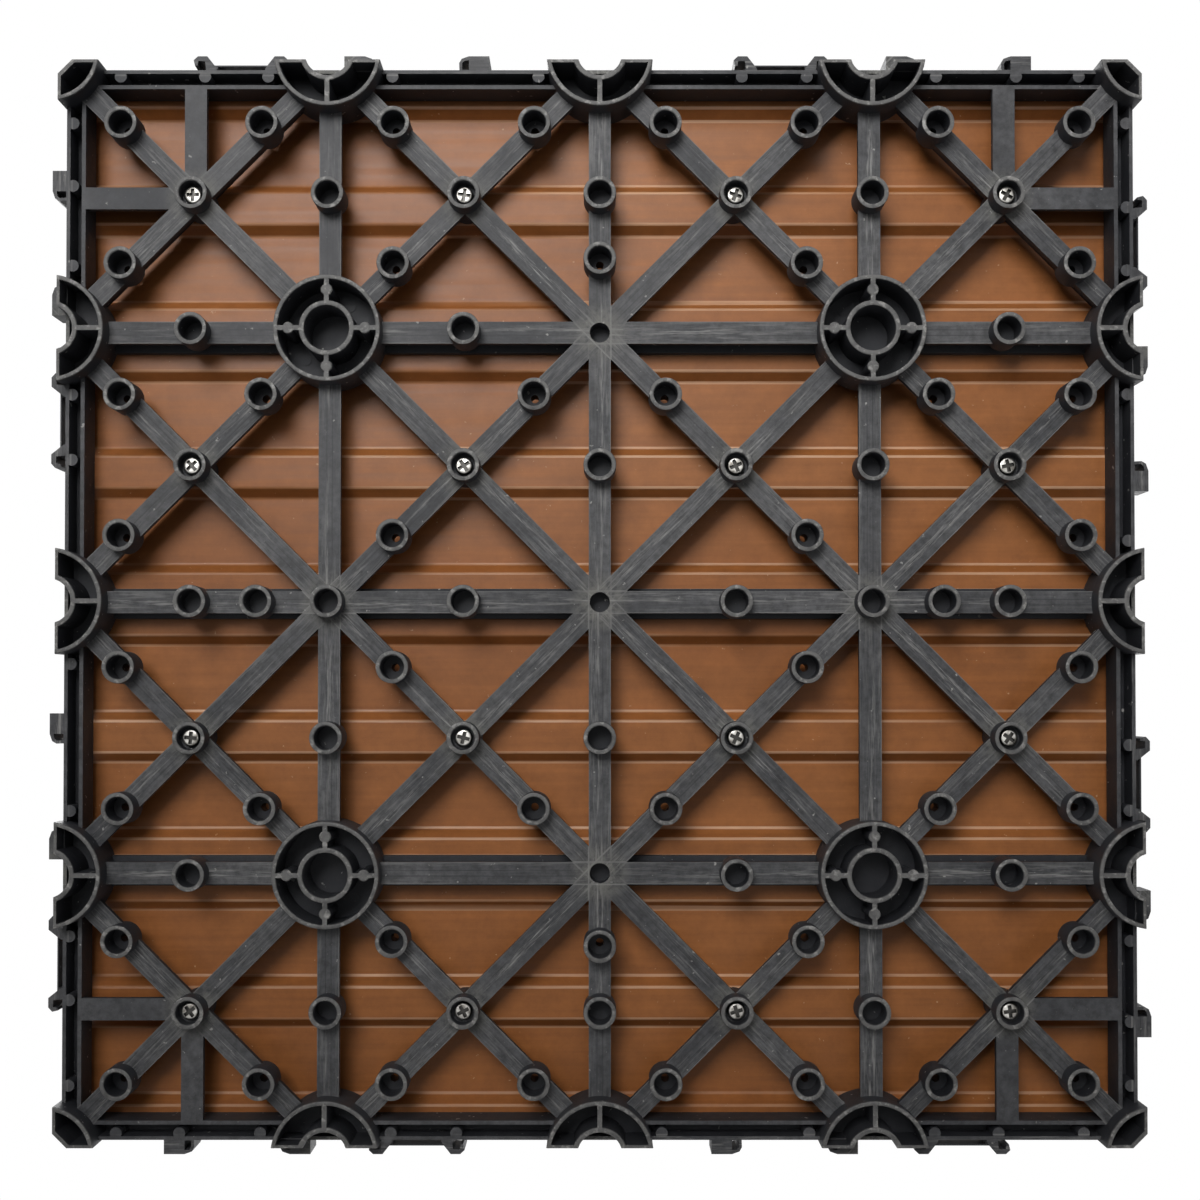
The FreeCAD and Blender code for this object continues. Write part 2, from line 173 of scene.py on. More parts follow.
def all_sides(solids):
    return [turned(solid, quarter) for solid in solids for quarter in range(4)]


def clipped(points, axis, sign, limit):
    """Part of a convex outline whose coordinate times sign stays below the limit."""
    kept = []
    for here, after in zip(points, points[1:] + points[:1]):
        a, b = sign * here[axis] - limit, sign * after[axis] - limit
        if a <= 0:
            kept.append(here)
        if (a < 0 < b) or (b < 0 < a):
            share = a / (a - b)
            kept.append(tuple(p + share * (q - p) for p, q in zip(here, after)))
    return kept


def rib(point, direction, width, low, high):
    """Straight strip across the whole tile, cut off inside the frame."""
    length = math.hypot(*direction)
    dx, dy = direction[0] / length, direction[1] / length
    reach, half = 400.0, width / 2
    outline = [(point[0] + a * dx * reach - b * dy * half,
                point[1] + a * dy * reach + b * dx * half)
               for a, b in ((-1, -1), (1, -1), (1, 1), (-1, 1))]
    for axis in (0, 1):
        for sign in (-1, 1):
            outline = clipped(outline, axis, sign, RIB_REACH)
    return prism(outline, low, high)


def t_ribs(point, direction):
    """Flange of a rib and the web behind it."""
    return [rib(point, direction, FLANGE_WIDTH, RIB_FACE, FLANGE_TOP),
            rib(point, direction, WEB_WIDTH, FLANGE_TOP - WEB_STEP, TOP)]


def spare_points():
    """Bosses without screws: round the screws on the diagonals, and four on the straight ribs."""
    points = [(sign * (PITCH + SPARE_STEP), 0.0) for sign in (-1, 1)]
    points += [(0.0, sign * (PITCH + SPARE_STEP)) for sign in (-1, 1)]
    for i in SCREW_LINES:
        for j in SCREW_LINES:
            out_x, out_y = math.copysign(SPARE_STEP, i), math.copysign(SPARE_STEP, j)
            x, y = i * PITCH, j * PITCH
            points += [(x + out_x, y - out_y), (x - out_x, y + out_y)]
            if (abs(i), abs(j)) != (0.5, 0.5):
                points.append((x + out_x, y + out_y))
    return points


SCREW_PLACES = [(i * PITCH, j * PITCH) for i in SCREW_LINES for j in SCREW_LINES]
SPARE_PLACES = spare_points()
PILOT_PLACES = [(x, y) for x, y in SPARE_PLACES if y]  # not over the gap of the middle boards
BLIND_PLACES = [(i * PITCH, j * PITCH) for i, j in BLIND_BOSSES]
WHOLE_FEET = [(i * PITCH, j * PITCH) for i in (-1, 1) for j in (-1, 1)]
PLAIN_CROSSINGS = [(0.0, j * PITCH) for j in (-1, 0, 1)]
CUT_FEET = [(FOOT_CENTRE, line * PITCH) for line in (-1, 0, 1)]
CORNER = (FOOT_CENTRE, FOOT_CENTRE)


def lattice_solids():
    """Ribs, strips under the boards' gaps, frame, posts and bosses."""
    solids = []
    for line in (-1, 0, 1):
        solids += t_ribs((line * PITCH, 0.0), (0.0, 1.0))
        solids += t_ribs((0.0, line * PITCH), (1.0, 0.0))
        solids.append(rib((0.0, line * PITCH), (1.0, 0.0), STRIP_WIDTH, SKIN, TOP))
    for line in range(-3, 4):
        solids += t_ribs((0.0, line * PITCH), (1.0, 1.0))
        solids += t_ribs((0.0, line * PITCH), (1.0, -1.0))
    end = 1.5 * PITCH
    arms = []
    for half, low, high in ((FLANGE_WIDTH / 2, RIB_FACE, FLANGE_TOP),
                            (WEB_WIDTH / 2, FLANGE_TOP - WEB_STEP, TOP)):
        arms.append(block(end, RIB_REACH, end - half, end + half, low, high))
        arms.append(block(end - half, end + half, end, RIB_REACH, low, high))
    arms.append(block(CHANNEL_OUT, FRAME_OUT, -FRAME_OUT, FRAME_OUT, RIB_FACE, TOP))
    arms.append(block(FRAME_IN, CHANNEL_IN, -CHANNEL_IN, CHANNEL_IN, RIB_FACE, TOP))
    arms.append(block(FRAME_IN, FRAME_OUT, -FRAME_OUT, FRAME_OUT, SKIN, TOP))
    arms += [cylinder(POST_OUT, along, POST_RADIUS, RIB_FACE, SKIN + OVERLAP)
             for along in POSTS_ALONG]
    solids += all_sides(arms)
    for x, y in SPARE_PLACES + BLIND_PLACES:
        solids.append(boss(x, y, DEEP_BORE + BORE_WALL))
    solids += [cylinder(x, y, SLEEVE, DEEP_BORE + SLEEVE_STEP, TOP - SLEEVE_TOP)
               for x, y in PILOT_PLACES]
    solids += [cylinder(x, y, PLAIN_WALL, FLANGE_TOP - OVERLAP, SKIN + OVERLAP)
               for x, y in PLAIN_CROSSINGS]
    for x, y in SCREW_PLACES:
        solids.append(boss(x, y, TOP))
    return solids


def boss(x, y, high):
    """Round boss, still solid, with the outer edge of its rim rounded off."""
    rim = BOSS_RIM
    profile = [(BOSS_OUT - rim, BOSS_LOW), (BOSS_OUT - 0.3 * rim, BOSS_LOW + 0.3 * rim),
               (BOSS_OUT, BOSS_LOW + rim), (BOSS_OUT, high)]
    return lathe(profile, x, y, SMALL_ROUND)


def bore(x, y, floor):
    """Space inside a boss, wider at the rim."""
    rim = BOSS_RIM
    profile = [(BOSS_IN + rim + CLEAR, BOSS_LOW - CLEAR), (BOSS_IN + rim, BOSS_LOW),
               (BOSS_IN, BOSS_LOW + rim), (BOSS_IN, floor)]
    return lathe(profile, x, y, SMALL_ROUND)


def lattice_openings():
    """Bores, pilot holes and screw holes, and the space inside the feet."""
    openings = [bore(x, y, DEEP_BORE) for x, y in SPARE_PLACES + BLIND_PLACES]
    openings += [bore(x, y, SEAT) for x, y in SCREW_PLACES]
    low, through = RIB_FACE - CLEAR, TOP + CLEAR
    openings += [cylinder(x, y, PILOT, DEEP_BORE - OVERLAP, through, PILOT_ROUND)
                 for x, y in PILOT_PLACES]
    openings += [cylinder(x, y, SCREW_HOLE, SEAT - OVERLAP, through, PILOT_ROUND)
                 for x, y in SCREW_PLACES]
    openings += [cylinder(x, y, PLAIN_HOLE, low, PLAIN_FLOOR) for x, y in PLAIN_CROSSINGS]
    openings += [cylinder(x, y, FOOT_IN, low, SKIN, ROUND) for x, y in WHOLE_FEET]
    spaces = []
    for x, y in CUT_FEET:
        profile = [(HUB_OUT, low), (FOOT_IN, low), (FOOT_IN, SKIN), (HUB_OUT, SKIN)]
        spaces.append(lathe(profile, x, y, ROUND, closed=True))
    spaces.append(cylinder(*CORNER, CORNER_IN, low, SKIN, ROUND))
    return openings + all_sides(spaces)


def feet_solids():
    """Walls, hubs, spokes, closed tops and flats of one side's feet, on all four sides."""
    solids = []
    x, y = PITCH, PITCH
    high = SKIN + OVERLAP
    spoke_in, spoke_out = (HUB_OUT + HUB_IN) / 2, (FOOT_OUT + FOOT_IN) / 2
    for place in [(x, y)] + CUT_FEET:
        solids.append(wall_tube(*place, FOOT_OUT, FOOT_IN))
        solids.append(wall_tube(*place, HUB_OUT, HUB_IN))
        solids.append(cylinder(*place, FOOT_OUT - SKIN_STEP, SKIN, TOP - SKIN_TOP, ROUND))
    solids.append(wall_tube(*CORNER, CORNER_OUT, CORNER_IN))
    solids.append(cylinder(*CORNER, CORNER_OUT - SKIN_STEP, SKIN, TOP - SKIN_TOP, ROUND))
    skew, inner = CORNER_CUT, CORNER_CUT - CORNER_WALL
    solids.append(prism([(FOOT_EDGE, inner - FOOT_EDGE), (FOOT_EDGE, skew - FOOT_EDGE),
                         (skew - FOOT_EDGE, FOOT_EDGE), (inner - FOOT_EDGE, FOOT_EDGE)],
                        SPOKE_LOW, TOP))
    across = (y - SPOKE_HALF, y + SPOKE_HALF)
    along = (x - SPOKE_HALF, x + SPOKE_HALF)
    for cx, cy in [(x, y)] + CUT_FEET:
        solids.append(block(cx - spoke_out, cx - spoke_in, cy - SPOKE_HALF, cy + SPOKE_HALF,
                            SPOKE_LOW, high))
    solids.append(block(x + spoke_in, x + spoke_out, *across, SPOKE_LOW, high))
    solids.append(block(*along, y + spoke_in, y + spoke_out, SPOKE_LOW, high))
    solids.append(block(*along, y - spoke_out, y - spoke_in, SPOKE_LOW, high))
    pad = [(PAD_RADIUS - PAD_RIM, 0.0), (PAD_RADIUS, PAD_RIM), (PAD_RADIUS, high)]
    for dx, dy in ((-1, 0), (1, 0), (0, -1), (0, 1)):
        solids.append(lathe(pad, x + dx * PAD_RING, y + dy * PAD_RING, SMALL_ROUND))
    for dx, dy in MARK_STEPS:
        solids.append(cylinder(x + dx, y + dy, MARK_RADIUS, SKIN - MARK_HEIGHT, high))
    inside = FOOT_EDGE - FOOT_FLAT_WALL
    for _, cy in CUT_FEET:
        solids.append(block(inside, FOOT_EDGE, cy - FOOT_FLAT_HALF, cy + FOOT_FLAT_HALF,
                            SPOKE_LOW, TOP))
    corner = FOOT_CENTRE - CORNER_FLAT
    solids.append(block(inside, FOOT_EDGE, corner, FOOT_EDGE, SPOKE_LOW, TOP))
    solids.append(block(corner, FOOT_EDGE, inside, FOOT_EDGE, SPOKE_LOW, TOP))
    return all_sides(solids)


def hub_bores():
    places = [(PITCH, PITCH)] + CUT_FEET
    return all_sides([cylinder(x, y, HUB_IN, -CLEAR, SKIN, ROUND) for x, y in places])


def corner_cuts():
    """What lies outside the straight cut across each corner of the tile."""
    far = 160.0
    outline = [(far, CORNER_CUT - far), (far, far), (CORNER_CUT - far, far)]
    return all_sides([prism(outline, -CLEAR, TOP + CLEAR)])


# Half outlines of a pair of clips: distance from the pair's middle, and out from the frame
HOOK = ((6.7, -0.4), (6.7, 0.5), (9.4, 3.9), (12.0, 3.9), (13.2, 2.8), (12.8, 1.2),
        (12.1, 1.3), (11.9, 2.6), (10.0, 2.5), (9.7, -0.4))
CATCH = ((11.9, -0.4), (11.8, 2.0), (12.5, 3.2), (14.5, 3.9), (20.2, 3.9), (20.2, -0.4))
CATCH_WINDOW = ((12.7, 0.1), (12.6, 1.9), (13.2, 2.6), (14.5, 2.8), (14.5, 0.1))
BRIDGE = ((-9.0, -0.4), (-9.0, 2.1), (9.0, 2.1), (9.0, -0.4))
BRIDGE_SLOT = ((-6.9, 0.5), (-6.9, 1.7), (6.9, 1.7), (6.9, 0.5))
HOOK_PAIRS = (-100.0, 50.5)
CATCH_PAIRS = (-51.0, 100.0)

# A screw: radius and height along its outline, from the head down into the board
SCREW_PROFILE = ((1.5, 2.7), (2.0, 2.76), (2.28, 2.92), (2.42, 3.2), (2.45, 3.6), (2.45, 4.68),
                 (1.5, 4.68), (1.5, 20.0), (0.3, 21.5))
SCREW_ROUND = 32
SCREW_TURN = 137.5  # degrees from each screw to the next
CROSS_ARM, CROSS_HALF, CROSS_HEIGHTS = 1.75, 0.52, (2.0, 3.7)

# Faces that meet at less than these angles, in degrees, are shaded as one round face
BASE_SMOOTH, SCREW_SMOOTH = 28.0, 35.0


def clip(outline, middle, mirror, low, high):
    """Part of a clip on the side of the tile that faces along x."""
    points = [(FRAME_OUT + out, middle + mirror * along) for along, out in outline]
    area = sum(a[0] * b[1] - b[0] * a[1] for a, b in zip(points, points[1:] + points[:1]))
    return prism(points if area > 0 else list(reversed(points)), low, high)


def clip_solids():
    solids = []
    for middle in HOOK_PAIRS:
        solids.append(clip(BRIDGE, middle, 1, FLANGE_TOP, TOP))
        solids += [clip(HOOK, middle, mirror, RIB_FACE, TOP) for mirror in (-1, 1)]
    for middle in CATCH_PAIRS:
        solids += [clip(CATCH, middle, mirror, RIB_FACE, TOP) for mirror in (-1, 1)]
    return all_sides(solids)


def clip_openings():
    low, high = RIB_FACE - CLEAR, TOP + CLEAR
    openings = [clip(BRIDGE_SLOT, middle, 1, low, high) for middle in HOOK_PAIRS]
    openings += [clip(CATCH_WINDOW, middle, mirror, low, high)
                 for middle in CATCH_PAIRS for mirror in (-1, 1)]
    return all_sides(openings)


def solid_object(name, solid, collection=None):
    mesh = bpy.data.meshes.new(name)
    corners, faces = solid
    mesh.from_pydata([(x * MM, y * MM, z * MM) for x, y, z in corners], [], faces)
    item = bpy.data.objects.new(name, mesh)
    (collection or bpy.context.collection).objects.link(item)
    return item


def boolean(item, operation, other=None, group=None):
    """Applies one boolean of the item with an object or with a collection of objects."""
    modifier = item.modifiers.new("combine", "BOOLEAN")
    modifier.operation = operation
    modifier.solver = "MANIFOLD"
    if group:
        modifier.operand_type = "COLLECTION"
        modifier.collection = group
    else:
        modifier.object = other
    graph = bpy.context.evaluated_depsgraph_get()
    mesh = bpy.data.meshes.new_from_object(item.evaluated_get(graph))
    item.modifiers.clear()
    item.data = mesh


def combine(item, operation, solids):
    """Joins the solids to the item, or cuts them from it."""
    group = bpy.data.collections.new("tools")
    bpy.context.scene.collection.children.link(group)
    tools = [solid_object("tool", solid, group) for solid in solids]
    boolean(item, operation, group=group)
    for tool in tools:
        bpy.data.objects.remove(tool)
    bpy.data.collections.remove(group)


def union(name, solids):
    item = solid_object(name, solids[0])
    combine(item, "UNION", solids[1:])
    return item


def merge(item, others):
    """Joins whole objects to the item, then removes them."""
    for other in others:
        boolean(item, "UNION", other)
        bpy.data.objects.remove(other)


def shade(item, limit):
    """Smooth shading on round faces only: those that meet a neighbour at a slight angle."""
    work = bmesh.new()
    work.from_mesh(item.data)
    slight, sharp = math.radians(1.0), math.radians(limit)
    for edge in work.edges:
        turn = edge.calc_face_angle(math.pi)
        edge.smooth = turn < sharp
        if slight < turn < sharp:
            for face in edge.link_faces:
                face.smooth = True
    work.to_mesh(item.data)
    work.free()


def make_base():
    """The whole moulding as one closed mesh."""
    base = union("base_moulding", lattice_solids())
    combine(base, "DIFFERENCE", lattice_openings())
    feet = union("feet", feet_solids())
    combine(feet, "DIFFERENCE", hub_bores())
    square = (-FOOT_EDGE, FOOT_EDGE)
    combine(feet, "INTERSECT", [block(*square, *square, -CLEAR, TOP + CLEAR)])
    clips = union("clips", clip_solids())
    combine(clips, "DIFFERENCE", clip_openings())
    merge(base, [feet, clips])
    combine(base, "DIFFERENCE", corner_cuts())
    shade(base, BASE_SMOOTH)
    return base


def make_screws():
    """Pan heads with a cross recess, each turned its own way, on plain shanks."""
    screw = solid_object("screws", lathe(SCREW_PROFILE, 0.0, 0.0, SCREW_ROUND))
    arm, half = (-CROSS_ARM, CROSS_ARM), (-CROSS_HALF, CROSS_HALF)
    cross = [block(*arm, *half, *CROSS_HEIGHTS), block(*half, *arm, *CROSS_HEIGHTS)]
    combine(screw, "DIFFERENCE", cross)
    shade(screw, SCREW_SMOOTH)
    screws = bmesh.new()
    for index, (x, y) in enumerate(SCREW_PLACES):
        copy = screw.data.copy()
        turn = Matrix.Rotation(math.radians(index * SCREW_TURN % 90.0), 4, "Z")
        copy.transform(Matrix.Translation((x * MM, y * MM, 0.0)) @ turn)
        screws.from_mesh(copy)
        bpy.data.meshes.remove(copy)
    screws.to_mesh(screw.data)
    screws.free()
    return screw


# Nodes of a material

class Nodes:
    """Short ways to add and join the nodes of one material.

    Lengths in a material are in metres, so that noise scales are in bumps per metre.
    """

    def __init__(self, name):
        self.material = bpy.data.materials.new(name)
        self.material.use_nodes = True
        self.tree = self.material.node_tree
        self.tree.nodes.clear()
        self.output = self.tree.nodes.new("ShaderNodeOutputMaterial")
        coordinates = self.tree.nodes.new("ShaderNodeTexCoord")
        self.place = coordinates.outputs["Object"]
        self.facing = coordinates.outputs["Normal"]

    def add(self, kind, **values):
        """A node with inputs set by name, from numbers or from other nodes' outputs."""
        node = self.tree.nodes.new(kind)
        for name, value in values.items():
            if hasattr(node, name) and name not in node.inputs:
                setattr(node, name, value)
            else:
                self.put(node.inputs[name], value)
        return node

    def put(self, socket, value):
        """Links another node's output to the socket, or sets its number or colour."""
        if isinstance(value, bpy.types.NodeSocket):
            self.tree.links.new(value, socket)
        else:
            socket.default_value = value

    def stretched(self, scale):
        """Object coordinates, each times its own factor."""
        mapping = self.add("ShaderNodeMapping", Vector=self.place)
        mapping.inputs["Scale"].default_value = scale
        return mapping.outputs["Vector"]

    def noise(self, scale, detail=4.0, roughness=0.5, stretch=(1.0, 1.0, 1.0)):
        vector = self.stretched(stretch)
        node = self.add("ShaderNodeTexNoise", Vector=vector, Scale=scale,
                        Detail=detail, Roughness=roughness)
        return node.outputs["Fac"]

    def ramp(self, factor, *stops):
        """Colour ramp; each stop is a place and a colour or a grey level."""
        node = self.add("ShaderNodeValToRGB", Fac=factor)
        elements = node.color_ramp.elements
        while len(elements) < len(stops):
            elements.new(0.5)
        for element, (place, level) in zip(elements, stops):
            element.position = place
            colour = (level, level, level) if isinstance(level, float) else level
            element.color = (*colour, 1.0)
        return node.outputs["Color"]

    def per(self, value, length):
        """The value, in metres, as a share of a length in millimetres."""
        return self.math("MULTIPLY", value, 1.0 / (length * MM))

    def math(self, operation, first, second=0.0, clamp=False):
        node = self.tree.nodes.new("ShaderNodeMath")
        node.operation = operation
        node.use_clamp = clamp
        self.put(node.inputs[0], first)
        self.put(node.inputs[1], second)
        return node.outputs[0]

    def mix(self, factor, first, second, blend="MIX"):
        node = self.tree.nodes.new("ShaderNodeMix")
        node.data_type = "RGBA"
        node.blend_type = blend
        self.put(node.inputs[0], factor)
        self.put(node.inputs[6], first)
        self.put(node.inputs[7], second)
        return node.outputs[2]

    def bump(self, height, strength, distance, normal=None):
        node = self.add("ShaderNodeBump", Height=height, Strength=strength, Distance=distance)
        if normal is not None:
            self.put(node.inputs["Normal"], normal)
        return node.outputs["Normal"]

    def axis(self, name, vector=None):
        """One coordinate of the place on the object, or of another vector."""
        node = self.add("ShaderNodeSeparateXYZ", Vector=vector or self.place)
        return node.outputs[name]

    def shader(self, **values):
        node = self.tree.nodes.new("ShaderNodeBsdfPrincipled")
        for name, value in values.items():
            self.put(node.inputs[name.replace("_", " ")], value)
        self.tree.links.new(node.outputs["BSDF"], self.output.inputs["Surface"])


# Materials: colours and the stops of the ramps are linear values

# Pale scuffs; the same colour paints the highlights along the rib edges
SCUFF_AND_HIGHLIGHT = (0.32, 0.315, 0.305, 1.0)
SINK_LINE = (0.018, 0.018, 0.020, 1.0)
RUBBED = (0.150, 0.147, 0.132, 1.0)
WORN_RIM = (0.175, 0.172, 0.166, 1.0)
# Painted shade for upright walls and deep faces
PAINTED_SHADE = (0.010, 0.011, 0.015, 1.0)
DUST = (0.42, 0.41, 0.39, 1.0)
# Painted highlight for the boards' rounded edges
BOARD_EDGE_HIGHLIGHT = (0.66, 0.40, 0.25, 1.0)
BOARD_SPECK = (0.62, 0.40, 0.24, 1.0)
# Painted shade for the screws' cross recess and the side of the head
PAINTED_RECESS_SHADE = (0.05, 0.048, 0.045, 1.0)

RIB_HALF = 3.3  # a little past the edge of a rib
MARK_SPAN = 10.0  # the ramps of the marks run over this distance from a line
DIAGONAL = 0.7071
ALONG_STRETCH = 0.07  # how much longer a scuff is than it is wide, as a share


def rib_marks(nodes, along, across, line_distance):
    """Pale scuffs and painted edge highlights along the ribs of one direction, and dark broken
    lines beside their webs.
    """
    on_rib = nodes.math("LESS_THAN", line_distance, RIB_HALF * MM)
    drawn_out = nodes.math("MULTIPLY", along, ALONG_STRETCH)
    vector = nodes.add("ShaderNodeCombineXYZ", X=drawn_out, Y=across).outputs["Vector"]
    fine = nodes.add("ShaderNodeTexNoise", Vector=vector, Scale=1100.0, Detail=3.0,
                     Roughness=0.75)
    broad = nodes.add("ShaderNodeTexNoise", Vector=vector, Scale=260.0, Detail=2.0,
                      Roughness=0.6)
    scuffs = nodes.ramp(fine.outputs["Fac"], (0.46, 0.0), (0.64, 1.0))
    patches = nodes.ramp(broad.outputs["Fac"], (0.42, 0.12), (0.60, 1.0))
    near = nodes.per(line_distance, MARK_SPAN)
    sink = nodes.ramp(near, (0.0, 0.45), (0.05, 1.0), (0.10, 0.45), (0.30, 0.35))
    marks = nodes.math("MULTIPLY", nodes.math("MULTIPLY", scuffs, patches), sink)
    groove = nodes.ramp(near, (0.055, 0.0), (0.075, 1.0), (0.105, 0.0))
    broken = nodes.ramp(broad.outputs["Fac"], (0.40, 1.0), (0.60, 0.15))
    groove = nodes.math("MULTIPLY", groove, broken)
    # Painted highlight: a pale line along both edges of each rib's face
    edge = nodes.math("MULTIPLY", nodes.ramp(near, (0.272, 0.0), (0.296, 0.5)), patches)
    marks = nodes.math("MAXIMUM", marks, edge)
    return nodes.math("MULTIPLY", marks, on_rib), nodes.math("MULTIPLY", groove, on_rib)


def near_crossings(nodes, x, y, shift):
    """A mask of 1 at the rib crossings, a pitch apart, that falls to 0 at 9 mm from them."""
    squares = []
    for place in (x, y):
        away = nodes.math("PINGPONG", nodes.math("ADD", place, shift), HALF_PITCH * MM)
        squares.append(nodes.math("MULTIPLY", away, away))
    distance = nodes.math("SQRT", nodes.math("ADD", *squares))
    return nodes.ramp(nodes.per(distance, MARK_SPAN), (0.35, 1.0), (0.9, 0.0))


def base_plastic():
    """Charcoal moulded plastic: flow marks, rib scuffs, painted rib-edge highlights, paler worn
    rims.

    Walls that stand upright and faces that lie deep are darkened with painted shade.
    """
    nodes = Nodes("charcoal_plastic")
    x, y, height = nodes.axis("X"), nodes.axis("Y"), nodes.axis("Z")
    half_pitch = HALF_PITCH * MM
    plus = nodes.math("ADD", x, y)
    minus = nodes.math("SUBTRACT", x, y)
    marks, grooves = None, None
    directions = ((y, x, 1.0), (x, y, 1.0), (minus, plus, DIAGONAL), (plus, minus, DIAGONAL))
    for along, across, share in directions:
        away = nodes.math("PINGPONG", across, half_pitch)
        line_distance = nodes.math("MULTIPLY", away, share)
        found, groove = rib_marks(nodes, along, across, line_distance)
        marks = found if marks is None else nodes.math("MAXIMUM", marks, found)
        grooves = groove if grooves is None else nodes.math("MAXIMUM", grooves, groove)
    from_face = nodes.math("ABSOLUTE", nodes.math("SUBTRACT", height, RIB_FACE * MM))
    face = nodes.math("LESS_THAN", from_face, 0.1 * MM)
    marks = nodes.math("MULTIPLY", marks, face)
    grooves = nodes.math("MULTIPLY", grooves, face)
    clouds = nodes.noise(26.0, detail=4.0, roughness=0.65)
    mottle = nodes.noise(330.0, detail=5.0, roughness=0.7)
    grain = nodes.noise(1500.0, detail=3.0, roughness=0.7)
    flecks = nodes.noise(520.0, detail=2.0, roughness=0.6)
    tone = nodes.ramp(clouds, (0.38, (0.047, 0.048, 0.052)), (0.62, (0.094, 0.094, 0.098)))
    shade_of = nodes.ramp(mottle, (0.36, 0.55), (0.64, 1.25))
    tone = nodes.mix(1.0, tone, shade_of, "MULTIPLY")
    tone = nodes.mix(nodes.math("MULTIPLY", grooves, 0.6), tone, SINK_LINE)
    rubbed = nodes.math("MAXIMUM", near_crossings(nodes, x, y, 0.0),
                        near_crossings(nodes, x, y, half_pitch))
    rubbed = nodes.math("MULTIPLY", rubbed, nodes.ramp(mottle, (0.38, 0.1), (0.58, 0.9)))
    tone = nodes.mix(nodes.math("MULTIPLY", rubbed, face), tone, RUBBED)
    # Scuffs together with the painted highlights on the rib edges
    tone = nodes.mix(nodes.math("MULTIPLY", marks, 0.9), tone, SCUFF_AND_HIGHLIGHT)
    level = nodes.per(height, 14.0)
    worn = nodes.ramp(level, (0.035, 1.0), (0.06, 0.0))
    worn = nodes.math("MULTIPLY", worn, nodes.ramp(mottle, (0.35, 0.35), (0.6, 0.9)))
    tone = nodes.mix(worn, tone, WORN_RIM)
    chips = nodes.math("MULTIPLY", worn, nodes.ramp(flecks, (0.54, 0.0), (0.66, 0.8)))
    tone = nodes.mix(chips, tone, DUST)
    # Painted shade: upright walls, and faces deeper than the ribs' flanges, are darkened towards
    # near black
    upright = nodes.math("ABSOLUTE", nodes.axis("Z", nodes.facing))
    painted_wall_shade = nodes.ramp(upright, (0.25, 1.0), (0.75, 0.0))
    deep = nodes.ramp(level, (0.48, 0.0), (0.56, 1.0))
    dark = nodes.math("MULTIPLY", nodes.math("MAXIMUM", painted_wall_shade, deep), 0.72)
    tone = nodes.mix(dark, tone, PAINTED_SHADE)
    dust = nodes.math("MULTIPLY", nodes.ramp(flecks, (0.70, 0.0), (0.76, 1.0)), 0.8)
    tone = nodes.mix(dust, tone, DUST)
    roughness = nodes.ramp(mottle, (0.3, 0.46), (0.7, 0.66))
    normal = nodes.bump(mottle, 0.25, 0.10 * MM)
    normal = nodes.bump(grain, 0.35, 0.03 * MM, normal)
    nodes.shader(Base_Color=tone, Roughness=roughness, Normal=normal, Specular_IOR_Level=0.25)
    return nodes.material


def board_composite():
    """Reddish brown board: streaks along it, pale specks, and painted highlights on rounded
    edges.

    The rounding of an edge is told from flats and slopes by how far it is tilted.
    """
    nodes = Nodes("brown_board")
    broad = nodes.noise(14.0, detail=4.0, roughness=0.6, stretch=(0.5, 1.0, 1.0))
    fine = nodes.noise(420.0, detail=5.0, roughness=0.65, stretch=(0.03, 1.0, 1.0))
    cloud = nodes.noise(160.0, detail=5.0, roughness=0.7)
    specks = nodes.noise(620.0, detail=2.0, roughness=0.6)
    tone = nodes.ramp(broad, (0.3, (0.270, 0.093, 0.025)), (0.7, (0.365, 0.137, 0.042)))
    streaks = nodes.ramp(fine, (0.3, 0.86), (0.7, 1.08))
    tone = nodes.mix(1.0, tone, streaks, "MULTIPLY")
    mottle = nodes.ramp(cloud, (0.3, 0.84), (0.7, 1.12))
    tone = nodes.mix(1.0, tone, mottle, "MULTIPLY")
    upright = nodes.math("ABSOLUTE", nodes.axis("Z", nodes.facing))
    # Painted highlight on the rounded edges, told apart by their tilt
    edge = nodes.ramp(upright, (0.74, 0.0), (0.79, 1.0), (0.985, 1.0), (0.995, 0.0))
    edge = nodes.math("MULTIPLY", edge, nodes.ramp(broad, (0.40, 0.15), (0.62, 0.85)))
    tone = nodes.mix(edge, tone, BOARD_EDGE_HIGHLIGHT)
    dots = nodes.math("MULTIPLY", nodes.ramp(specks, (0.73, 0.0), (0.78, 1.0)), 0.6)
    tone = nodes.mix(dots, tone, BOARD_SPECK)
    roughness = nodes.ramp(fine, (0.3, 0.34), (0.7, 0.46))
    normal = nodes.bump(fine, 0.25, 0.05 * MM)
    normal = nodes.bump(cloud, 0.2, 0.08 * MM, normal)
    nodes.shader(Base_Color=tone, Roughness=roughness, Normal=normal, Specular_IOR_Level=0.25)
    return nodes.material


def screw_steel():
    """Zinc-plated steel with a little tarnish, and painted shade in the recess and below the
    head's face.
    """
    nodes = Nodes("screw_steel")
    tarnish = nodes.noise(500.0, detail=4.0)
    tone = nodes.ramp(tarnish, (0.35, (0.15, 0.14, 0.125)), (0.65, (0.60, 0.585, 0.55)))
    # Painted shade: the cross recess and the head's side, above its face, are darkened
    painted_shade_behind_face = nodes.ramp(nodes.per(nodes.axis("Z"), 10.0), (0.274, 0.0), (0.30, 1.0))
    tone = nodes.mix(painted_shade_behind_face, tone, PAINTED_RECESS_SHADE)
    roughness = nodes.ramp(tarnish, (0.3, 0.45), (0.7, 0.32))
    normal = nodes.bump(tarnish, 0.2, 0.03 * MM)
    nodes.shader(Base_Color=tone, Metallic=1.0, Roughness=roughness, Normal=normal)
    return nodes.material


